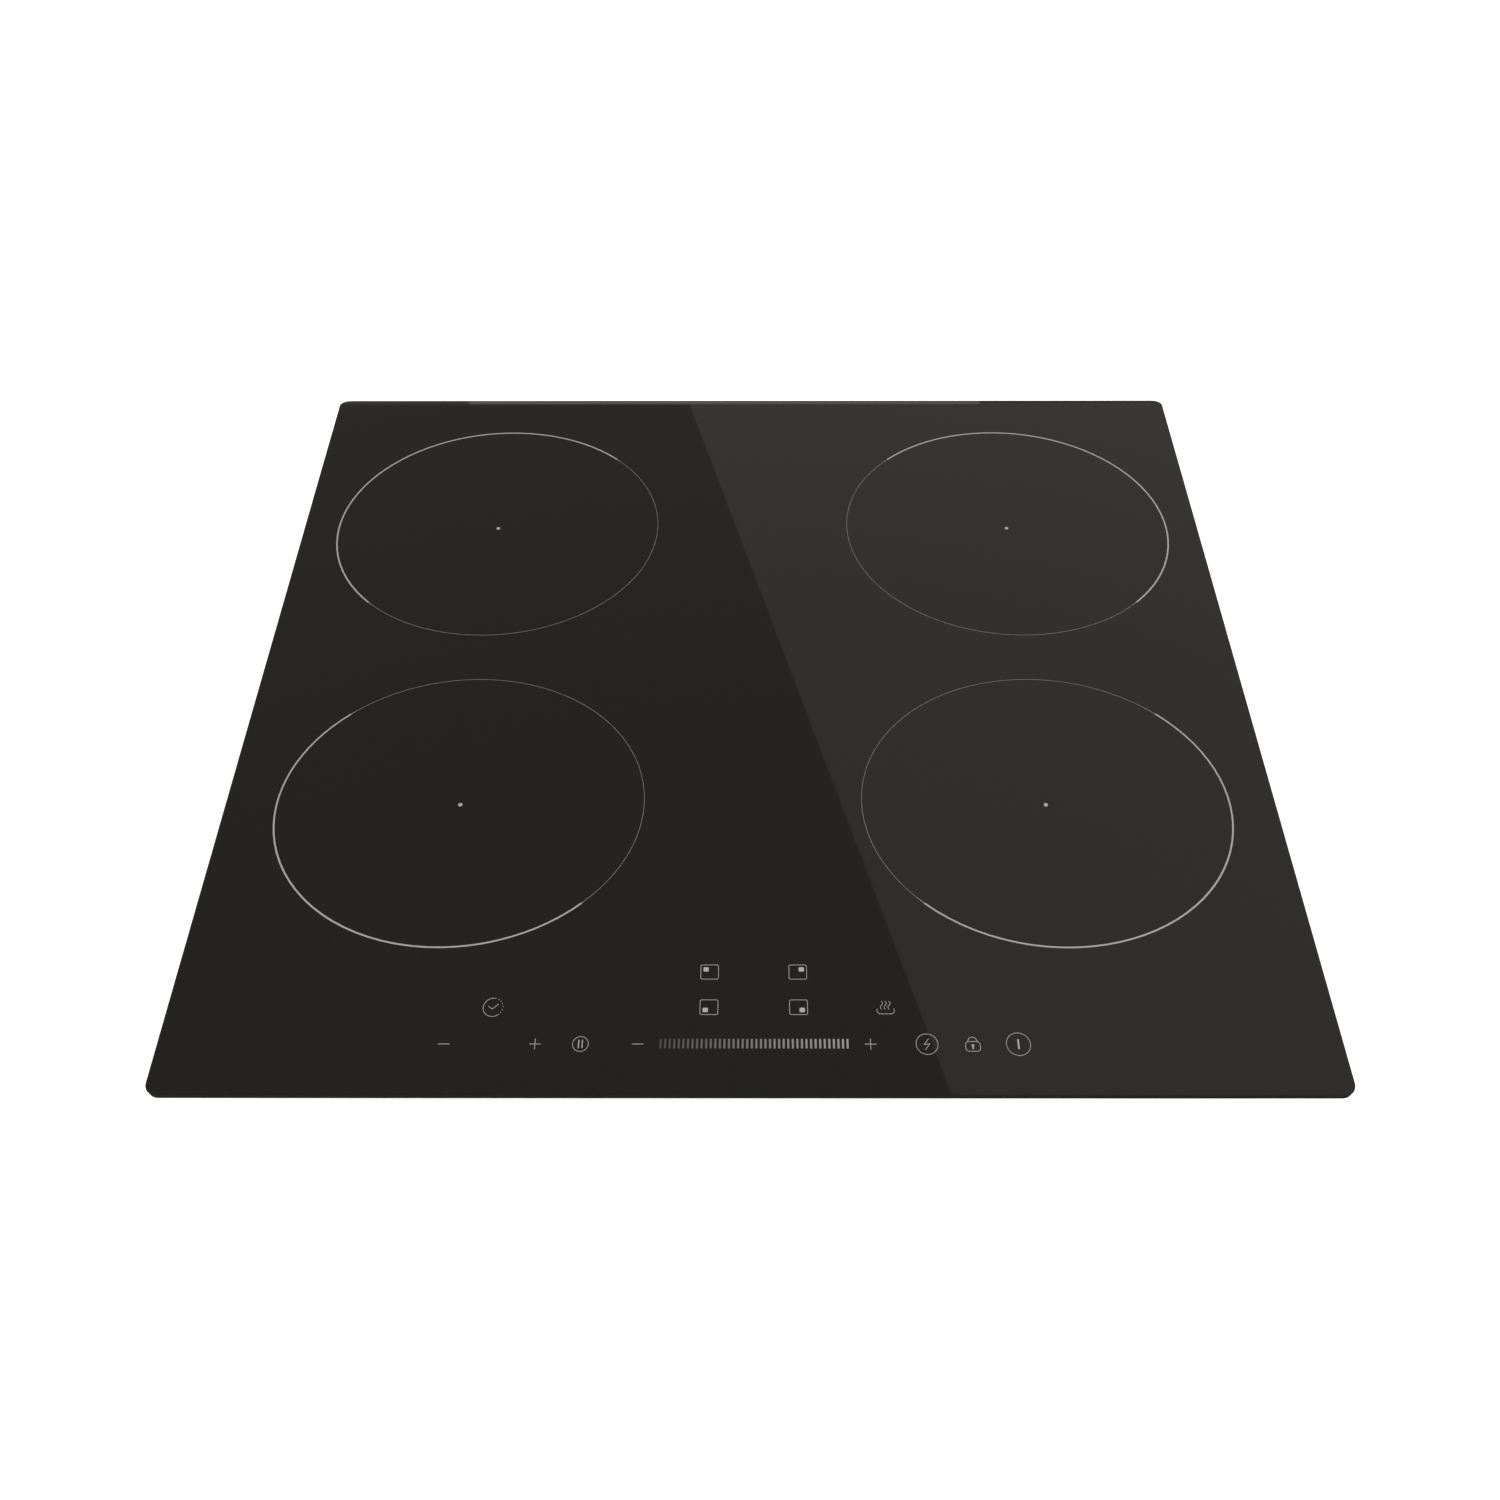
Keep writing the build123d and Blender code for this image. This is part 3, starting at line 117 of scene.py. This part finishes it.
# Glass plate
REAR_BEVEL_W = 0.0055
REAR_BEVEL_H = 0.0011
GLASS_CORNER_R = 0.0065
GLASS_EDGE_R = 0.0004
CORNER_STEPS = 14
EDGE_STEPS = 4


# ---------------------------------------------------------------- camera and light
def look_matrix(position, pitch, yaw, roll):
    """A camera matrix: pitch down from level, yaw from +Y towards +X, roll, in degrees."""
    p, y, r = radians(pitch), radians(yaw), radians(roll)
    forward = Vector((sin(y) * cos(p), cos(y) * cos(p), -sin(p)))
    level = Vector((cos(y), -sin(y), 0))
    up = level.cross(forward)
    right = level * cos(r) + up * sin(r)
    over = up * cos(r) - level * sin(r)
    turn = Matrix((right, over, -forward)).transposed()
    return Matrix.Translation(position) @ turn.to_4x4()


def make_camera():
    """The viewer's place: in front of the glass and above it, looking down."""
    data = bpy.data.cameras.new("camera")
    data.sensor_width = SENSOR_MM
    data.lens = LENS_MM
    camera = bpy.data.objects.new("camera", data)
    scene.collection.objects.link(camera)
    camera.matrix_world = look_matrix(CAMERA_PLACE, CAMERA_PITCH, CAMERA_YAW, CAMERA_ROLL)
    scene.camera = camera


def soft_panel(name, matrix, size, radiance, tint):
    """A plain panel of light that isn't seen itself, only as a reflection."""
    width, height = size
    data = bpy.data.lights.new(name, "AREA")
    data.shape = "RECTANGLE"
    data.size = width
    data.size_y = height
    data.energy = radiance * pi * width * height
    data.color = tint
    panel = bpy.data.objects.new(name, data)
    scene.collection.objects.link(panel)
    panel.matrix_world = matrix
    panel.visible_camera = False


def soft_sun(name, towards, spread, strength):
    """A wide sun, which lights the whole floor evenly and isn't mirrored."""
    data = bpy.data.lights.new(name, "SUN")
    data.angle = radians(spread)
    data.energy = strength
    sun = bpy.data.objects.new(name, data)
    scene.collection.objects.link(sun)
    sun.rotation_euler = Vector(towards).to_track_quat("Z", "Y").to_euler()
    sun.visible_glossy = False


def remap(tree, value, low, high, start, end):
    """Take a value from start..end to low..high in a node tree, held at both ends."""
    node = tree.nodes.new("ShaderNodeMapRange")
    node.inputs["From Min"].default_value = start
    node.inputs["From Max"].default_value = end
    node.inputs["To Min"].default_value = low
    node.inputs["To Max"].default_value = high
    tree.links.new(value, node.inputs["Value"])
    return node.outputs["Result"]


def calculate(tree, operation, *values):
    """A maths node on values that are sockets or plain numbers."""
    node = tree.nodes.new("ShaderNodeMath")
    node.operation = operation
    for socket, value in zip(node.inputs, values):
        if isinstance(value, (int, float)):
            socket.default_value = value
        else:
            tree.links.new(value, socket)
    return node.outputs[0]


def split_axes(tree, vector):
    """The X, Y and Z of a vector."""
    node = tree.nodes.new("ShaderNodeSeparateXYZ")
    tree.links.new(vector, node.inputs[0])
    return node.outputs


def make_world():
    """A white backdrop to the eye; to everything else a dim room with paler side walls."""
    world = bpy.data.worlds.new("studio")
    scene.world = world
    world.use_nodes = True
    tree = world.node_tree
    nodes, links = tree.nodes, tree.links
    nodes.clear()
    output = nodes.new("ShaderNodeOutputWorld")
    mix = nodes.new("ShaderNodeMixShader")
    path = nodes.new("ShaderNodeLightPath")
    room = nodes.new("ShaderNodeBackground")
    room.inputs["Color"].default_value = ROOM_COLOUR
    direction = split_axes(tree, nodes.new("ShaderNodeTexCoord").outputs["Generated"])
    sideways = calculate(tree, "ABSOLUTE", direction["X"])
    walls = remap(tree, sideways, ROOM_LIGHT, SIDE_WALL_LIGHT, 0.50, 0.95)
    shade = remap(tree, direction["Z"], SHADE_BELOW, 1.0, -0.80, -0.55)
    links.new(calculate(tree, "MULTIPLY", walls, shade), room.inputs["Strength"])
    backdrop = nodes.new("ShaderNodeBackground")
    backdrop.inputs["Color"].default_value = (1, 1, 1, 1)
    backdrop.inputs["Strength"].default_value = 1.0
    links.new(path.outputs["Is Camera Ray"], mix.inputs["Fac"])
    links.new(room.outputs[0], mix.inputs[1])
    links.new(backdrop.outputs[0], mix.inputs[2])
    links.new(mix.outputs[0], output.inputs["Surface"])


def lay_high_panel():
    """A wide panel high behind the hob, whose straight left edge the glass shows as a slant."""
    camera = scene.camera.matrix_world.translation
    level = Vector((0, 0, GLASS_TOP))
    facing = Vector((0, cos(radians(PANEL_ELEVATION)), sin(radians(PANEL_ELEVATION))))
    ends = []
    for x, y in PANEL_EDGE_ON_GLASS:
        spot = Vector((x, y, GLASS_TOP))
        ray = spot - camera
        ray.z = -ray.z
        reach = (PANEL_DISTANCE - (spot - level).dot(facing)) / ray.dot(facing)
        ends.append(spot + ray * reach)
    along = (ends[0] - ends[1]).normalized()
    across = along.cross(facing)
    centre = (ends[0] + ends[1]) / 2 + across * PANEL_SIZE[0] / 2
    turn = Matrix((across, along, facing)).transposed().to_4x4()
    place = Matrix.Translation(centre) @ turn
    soft_panel("slanting_panel", place, PANEL_SIZE, PANEL_LIGHT, PANEL_TINT)


def make_lights():
    """Soft light from both sides and above, and two panels behind that the glass mirrors."""
    for name, (towards, spread, strength) in SUNS.items():
        soft_sun(name, towards, spread, strength)
    lay_high_panel()
    # Only the bevel along the rear edge mirrors the low panel.
    strip_turn = Vector((0, 1, 0)).to_track_quat("Z", "Y").to_matrix().to_4x4()
    strip_place = Matrix.Translation(STRIP_PLACE) @ strip_turn
    soft_panel("low_panel", strip_place, STRIP_SIZE, STRIP_LIGHT, STRIP_TINT)


def make_floor():
    """A plain pale floor under the casing."""
    bm = bmesh.new()
    bmesh.ops.create_grid(bm, x_segments=4, y_segments=4, size=FLOOR_HALF)
    mesh = bpy.data.meshes.new("floor")
    bm.to_mesh(mesh)
    bm.free()
    floor = bpy.data.objects.new("floor", mesh)
    scene.collection.objects.link(floor)
    floor.location.z = FLOOR_Z - FLOOR_GAP
    floor.visible_glossy = False
    paint = Finish("floor", roughness=0.9)
    paint.colour((0.90, 0.90, 0.90), (0.92, 0.92, 0.92), paint.noise(3.0))
    paint.shader.inputs["Specular IOR Level"].default_value = 0.1
    paint.shader.inputs["Emission Color"].default_value = (1, 1, 1, 1)
    paint.shader.inputs["Emission Strength"].default_value = FLOOR_LIGHT
    mesh.materials.append(paint.material)


# ---------------------------------------------------------------- materials
class Finish:
    """A node material built round one Principled shader, in object coordinates."""

    def __init__(self, name, metallic=0.0, roughness=0.5, ior=1.5):
        self.material = bpy.data.materials.new(name)
        self.material.use_nodes = True
        self.tree = self.material.node_tree
        self.nodes = self.tree.nodes
        self.links = self.tree.links
        self.shader = self.nodes["Principled BSDF"]
        self.shader.inputs["Metallic"].default_value = metallic
        self.shader.inputs["Roughness"].default_value = roughness
        self.shader.inputs["IOR"].default_value = ior
        self.place = self.nodes.new("ShaderNodeTexCoord").outputs["Object"]

    def stretched(self, scale):
        """Object coordinates scaled by different amounts along the three axes."""
        mapping = self.nodes.new("ShaderNodeMapping")
        mapping.inputs["Scale"].default_value = scale
        self.links.new(self.place, mapping.inputs["Vector"])
        return mapping.outputs["Vector"]

    def noise(self, scale, detail=3.0, vector=None):
        """Soft noise; scale is in cells per metre."""
        node = self.nodes.new("ShaderNodeTexNoise")
        node.inputs["Scale"].default_value = scale
        node.inputs["Detail"].default_value = detail
        self.links.new(vector or self.place, node.inputs["Vector"])
        return node.outputs["Fac"]

    def cells(self, scale, vector=None):
        """Flat random cells, as of crystals."""
        node = self.nodes.new("ShaderNodeTexVoronoi")
        node.inputs["Scale"].default_value = scale
        self.links.new(vector or self.place, node.inputs["Vector"])
        split = self.nodes.new("ShaderNodeSeparateColor")
        self.links.new(node.outputs["Color"], split.inputs[0])
        return split.outputs[0]

    def span(self, value, low, high, start=0.3, end=0.7):
        """A value taken from start..end to low..high."""
        return remap(self.tree, value, low, high, start, end)

    def blend(self, first, second, value, start=0.35, end=0.65):
        """A colour between two, chosen by value."""
        node = self.nodes.new("ShaderNodeValToRGB")
        node.color_ramp.elements[0].position = start
        node.color_ramp.elements[0].color = (*first, 1)
        node.color_ramp.elements[1].position = end
        node.color_ramp.elements[1].color = (*second, 1)
        self.links.new(value, node.inputs["Fac"])
        return node.outputs["Color"]

    def colour(self, first, second, value, start=0.35, end=0.65):
        """Paint the surface between two colours."""
        paint = self.blend(first, second, value, start, end)
        self.links.new(paint, self.shader.inputs["Base Color"])

    def roughness(self, value, low, high):
        """Vary the roughness."""
        self.links.new(self.span(value, low, high), self.shader.inputs["Roughness"])

    def bump(self, value, distance):
        """Raise the surface by up to the given distance."""
        node = self.nodes.new("ShaderNodeBump")
        node.inputs["Distance"].default_value = distance
        node.inputs["Strength"].default_value = 1.0
        self.links.new(value, node.inputs["Height"])
        self.links.new(node.outputs["Normal"], self.shader.inputs["Normal"])


def black_glass():
    """Glass-ceramic: near black, mirror smooth, with a trace of haze."""
    finish = Finish("black_glass", roughness=0.02, ior=1.52)
    finish.colour((0.0030, 0.0029, 0.0026), (0.0046, 0.0045, 0.0042), finish.noise(900, 4))
    finish.roughness(finish.noise(14, 5), 0.012, 0.026)
    finish.bump(finish.noise(1400, 2), 0.0000002)
    return finish.material


def enamel(name):
    """Matt enamel print with the fine grain of its screen, not yet coloured."""
    finish = Finish(name)
    finish.roughness(finish.noise(900), 0.36, 0.5)
    finish.bump(finish.noise(4200, 1), 0.000006)
    return finish


def control_enamel():
    """The touch symbols' print, in one pale grey."""
    finish = enamel("control_print")
    finish.colour((0.30, 0.30, 0.29), (0.36, 0.36, 0.345), finish.noise(2600, 2))
    return finish.material


def zone_enamel():
    """The zone marks' print, whose ink is thinner and duller on the fine half of each mark."""
    finish = enamel("zone_print")
    tree = finish.tree
    axes = split_axes(tree, finish.place)
    # How far out a point lies, in mark half sizes, against the centre of its own mark
    x_out = calculate(tree, "DIVIDE", calculate(tree, "ABSOLUTE", axes["X"]), MARK_HALF_W)
    y_out = calculate(tree, "DIVIDE", calculate(tree, "ABSOLUTE", axes["Y"]), MARK_HALF_D)
    outward = calculate(tree, "ADD", x_out, y_out)
    centre = finish.span(axes["Y"], FRONT_MARKS_OUT, REAR_MARKS_OUT, -0.001, 0.001)
    past_centre = calculate(tree, "SUBTRACT", outward, centre)
    bold = finish.span(past_centre, 0, 1, -0.07, -0.05)
    finish.colour((0.20, 0.20, 0.195), (0.30, 0.30, 0.29), bold, 0.0, 1.0)
    return finish.material


def slider_enamel():
    """The slider's print, which grows lighter from left to right."""
    low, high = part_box("slider_print")
    finish = enamel("slider_print")
    axes = split_axes(finish.tree, finish.place)
    place = finish.span(axes["X"], 0, 1, low.x, high.x)
    finish.colour((0.042, 0.042, 0.040), (0.24, 0.24, 0.23), place, 0.0, 1.0)
    return finish.material


def galvanised():
    """Hot-dip zinc with its broad dull crystals."""
    finish = Finish("galvanised_steel", metallic=1.0)
    crystals = finish.cells(150)
    finish.colour((0.60, 0.62, 0.64), (0.70, 0.72, 0.74), crystals, 0.0, 1.0)
    finish.roughness(crystals, 0.36, 0.44)
    finish.bump(finish.noise(420, 4), 0.00004)
    return finish.material


def zinc_plate(name, first, second):
    """Bright zinc plate with faint streaks."""
    finish = Finish(name, metallic=1.0)
    streaks = finish.noise(260, 5, finish.stretched((1, 1, 5)))
    finish.colour(first, second, streaks)
    finish.roughness(finish.noise(700, 3), 0.24, 0.42)
    finish.bump(finish.noise(1600, 2), 0.00001)
    return finish.material


def rolled_aluminium():
    """Mill-finish aluminium with its rolling lines."""
    finish = Finish("plate_aluminium", metallic=1.0)
    lines = finish.noise(120, 6, finish.stretched((14, 0.6, 14)))
    finish.colour((0.66, 0.67, 0.68), (0.80, 0.80, 0.81), lines)
    finish.roughness(lines, 0.28, 0.46)
    finish.bump(lines, 0.00001)
    return finish.material


def moulded(name, first, second, low=0.42, high=0.6, grain=1500, depth=0.00003):
    """Moulded plastic with a fine eroded texture."""
    finish = Finish(name)
    finish.colour(first, second, finish.noise(180, 4))
    finish.roughness(finish.noise(600), low, high)
    finish.bump(finish.noise(grain, 3), depth)
    return finish.material


def foam():
    """Closed-cell foam strip."""
    finish = Finish("foam_seal", roughness=0.85)
    bubbles = finish.cells(1800)
    finish.colour((0.012, 0.012, 0.012), (0.035, 0.035, 0.035), bubbles, 0.0, 1.0)
    finish.roughness(bubbles, 0.75, 0.95)
    finish.bump(bubbles, 0.00012)
    return finish.material


def litz():
    """Enamelled copper strands."""
    finish = Finish("copper_litz", metallic=0.85)
    finish.colour((0.36, 0.13, 0.05), (0.62, 0.27, 0.11), finish.noise(1500, 3))
    finish.roughness(finish.noise(900), 0.28, 0.45)
    finish.bump(finish.noise(3500, 2), 0.00004)
    return finish.material


def circuit_board():
    """Solder mask with paler tracks and tinned pads."""
    finish = Finish("circuit_board")
    tracks = finish.noise(190, 1, finish.stretched((1, 3, 1)))
    finish.colour((0.012, 0.075, 0.030), (0.03, 0.15, 0.06), tracks, 0.46, 0.5)
    finish.roughness(tracks, 0.25, 0.4)
    finish.bump(tracks, 0.00003)
    return finish.material


def brass_plate():
    """Stamped brass."""
    finish = Finish("brass", metallic=1.0)
    finish.colour((0.60, 0.42, 0.17), (0.74, 0.56, 0.26), finish.noise(800, 3))
    finish.roughness(finish.noise(500), 0.22, 0.4)
    finish.bump(finish.noise(1500), 0.00001)
    return finish.material


# Plated steels: their two shades
PLATED = {
    "rail_steel": ((0.52, 0.53, 0.53), (0.66, 0.67, 0.67)),
    "clamp_steel": ((0.56, 0.57, 0.56), (0.72, 0.72, 0.71)),
    "screw_steel": ((0.60, 0.60, 0.58), (0.75, 0.74, 0.70)),
    "motor_steel": ((0.16, 0.16, 0.17), (0.26, 0.26, 0.27)),
    "spring_steel": ((0.60, 0.57, 0.50), (0.74, 0.70, 0.62)),
}

# Mouldings: their two shades, then their roughness range, and the grain's cells per metre and depth
MOULDED = {
    "silicone": ((0.06, 0.06, 0.06), (0.10, 0.10, 0.10), 0.35, 0.5),
    "black_plastic": ((0.016, 0.016, 0.017), (0.028, 0.028, 0.03)),
    "grey_plastic": ((0.20, 0.20, 0.21), (0.27, 0.27, 0.28)),
    "white_plastic": ((0.70, 0.69, 0.64), (0.80, 0.79, 0.75)),
    "grommet_rubber": ((0.012, 0.012, 0.012), (0.03, 0.03, 0.03), 0.6, 0.8),
    "ferrite": ((0.025, 0.025, 0.028), (0.05, 0.05, 0.055), 0.4, 0.7),
    "mica": ((0.44, 0.38, 0.27), (0.58, 0.53, 0.42), 0.3, 0.5, 300, 0.00005),
    "sensor_ceramic": ((0.66, 0.64, 0.58), (0.76, 0.74, 0.70)),
    "component_black": ((0.014, 0.014, 0.016), (0.03, 0.03, 0.032)),
    "capacitor_yellow": ((0.58, 0.40, 0.06), (0.70, 0.50, 0.10), 0.3, 0.4),
    "wire_jacket": ((0.22, 0.03, 0.025), (0.34, 0.06, 0.05), 0.4, 0.55),
}

# Every other slot has a function of its own
FINISHES = {
    "black_glass": black_glass,
    "zone_print": zone_enamel,
    "control_print": control_enamel,
    "slider_print": slider_enamel,
    "foam_seal": foam,
    "galvanised_steel": galvanised,
    "plate_aluminium": rolled_aluminium,
    "brass": brass_plate,
    "copper_litz": litz,
    "circuit_board": circuit_board,
    "choke_winding": litz,
}
MATERIALS = {}


def material(slot):
    """The material of a slot, made when it is first asked for."""
    if slot not in MATERIALS:
        if slot in PLATED:
            MATERIALS[slot] = zinc_plate(slot, *PLATED[slot])
        elif slot in MOULDED:
            MATERIALS[slot] = moulded(slot, *MOULDED[slot])
        else:
            MATERIALS[slot] = FINISHES[slot]()
    return MATERIALS[slot]


def dress_nodes():
    """Give every carried-over node the material of its slot."""
    for part in frame["record"]["subparts"]:
        mesh = frame["nodes"][part["node"]].data
        mesh.materials.clear()
        mesh.materials.append(material(part["material_slot"]))


# ---------------------------------------------------------------- pieces
def finish_piece(name, bm, slot):
    """Turn a bmesh into a piece, smooth but for its sharp edges, with the material of a slot."""
    mesh = bpy.data.meshes.new(name)
    bmesh.ops.recalc_face_normals(bm, faces=bm.faces)
    bm.to_mesh(mesh)
    bm.free()
    mesh.materials.append(material(slot))
    piece = bpy.data.objects.new(name, mesh)
    scene.collection.objects.link(piece)
    mesh.shade_smooth()
    mesh.set_sharp_from_angle(angle=radians(30))
    return piece


def rounded_outline(low, high, radius, steps):
    """Points round a rectangle with rounded corners, counterclockwise."""
    centres = (
        (high.x - radius, high.y - radius, 0),
        (low.x + radius, high.y - radius, 90),
        (low.x + radius, low.y + radius, 180),
        (high.x - radius, low.y + radius, 270),
    )
    points = []
    for x, y, start in centres:
        for step in range(steps + 1):
            angle = radians(start + 90 * step / steps)
            points.append((x + radius * cos(angle), y + radius * sin(angle)))
    return points


def make_glass():
    """The glass plate: ground round its edges, with a flat bevel along the rear."""
    outline = rounded_outline(GLASS_LOW, GLASS_HIGH, GLASS_CORNER_R, CORNER_STEPS)
    bm = bmesh.new()
    bottom = [bm.verts.new((x, y, GLASS_LOW.z)) for x, y in outline]
    top = [bm.verts.new((x, y, GLASS_TOP)) for x, y in outline]
    bm.faces.new(bottom[::-1])
    bm.faces.new(top)
    for i, vert in enumerate(bottom):
        after = (i + 1) % len(bottom)
        bm.faces.new((vert, bottom[after], top[after], top[i]))
    cut = bmesh.ops.bisect_plane(
        bm,
        geom=[*bm.verts, *bm.edges, *bm.faces],
        plane_co=(0, GLASS_HIGH.y - REAR_BEVEL_W, GLASS_TOP),
        plane_no=Vector((0, REAR_BEVEL_H, REAR_BEVEL_W)).normalized(),
        clear_outer=True,
    )
    rim = [e for e in cut["geom_cut"] if isinstance(e, bmesh.types.BMEdge)]
    bmesh.ops.contextual_create(bm, geom=rim)
    piece = finish_piece("glass_plate", bm, "black_glass")
    bevel = piece.modifiers.new("ground_edge", "BEVEL")
    bevel.width = GLASS_EDGE_R
    bevel.segments = EDGE_STEPS
    bevel.limit_method = "ANGLE"
    bevel.angle_limit = radians(10)
    bevel.harden_normals = True
    bpy.context.view_layer.objects.active = piece
    with bpy.context.temp_override(object=piece, active_object=piece):
        bpy.ops.object.modifier_apply(modifier=bevel.name)
    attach(piece, BODY)
    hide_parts("glass_top")


make_camera()
make_world()
make_lights()
make_floor()
dress_nodes()
make_glass()

scene.view_settings.view_transform = "Standard"
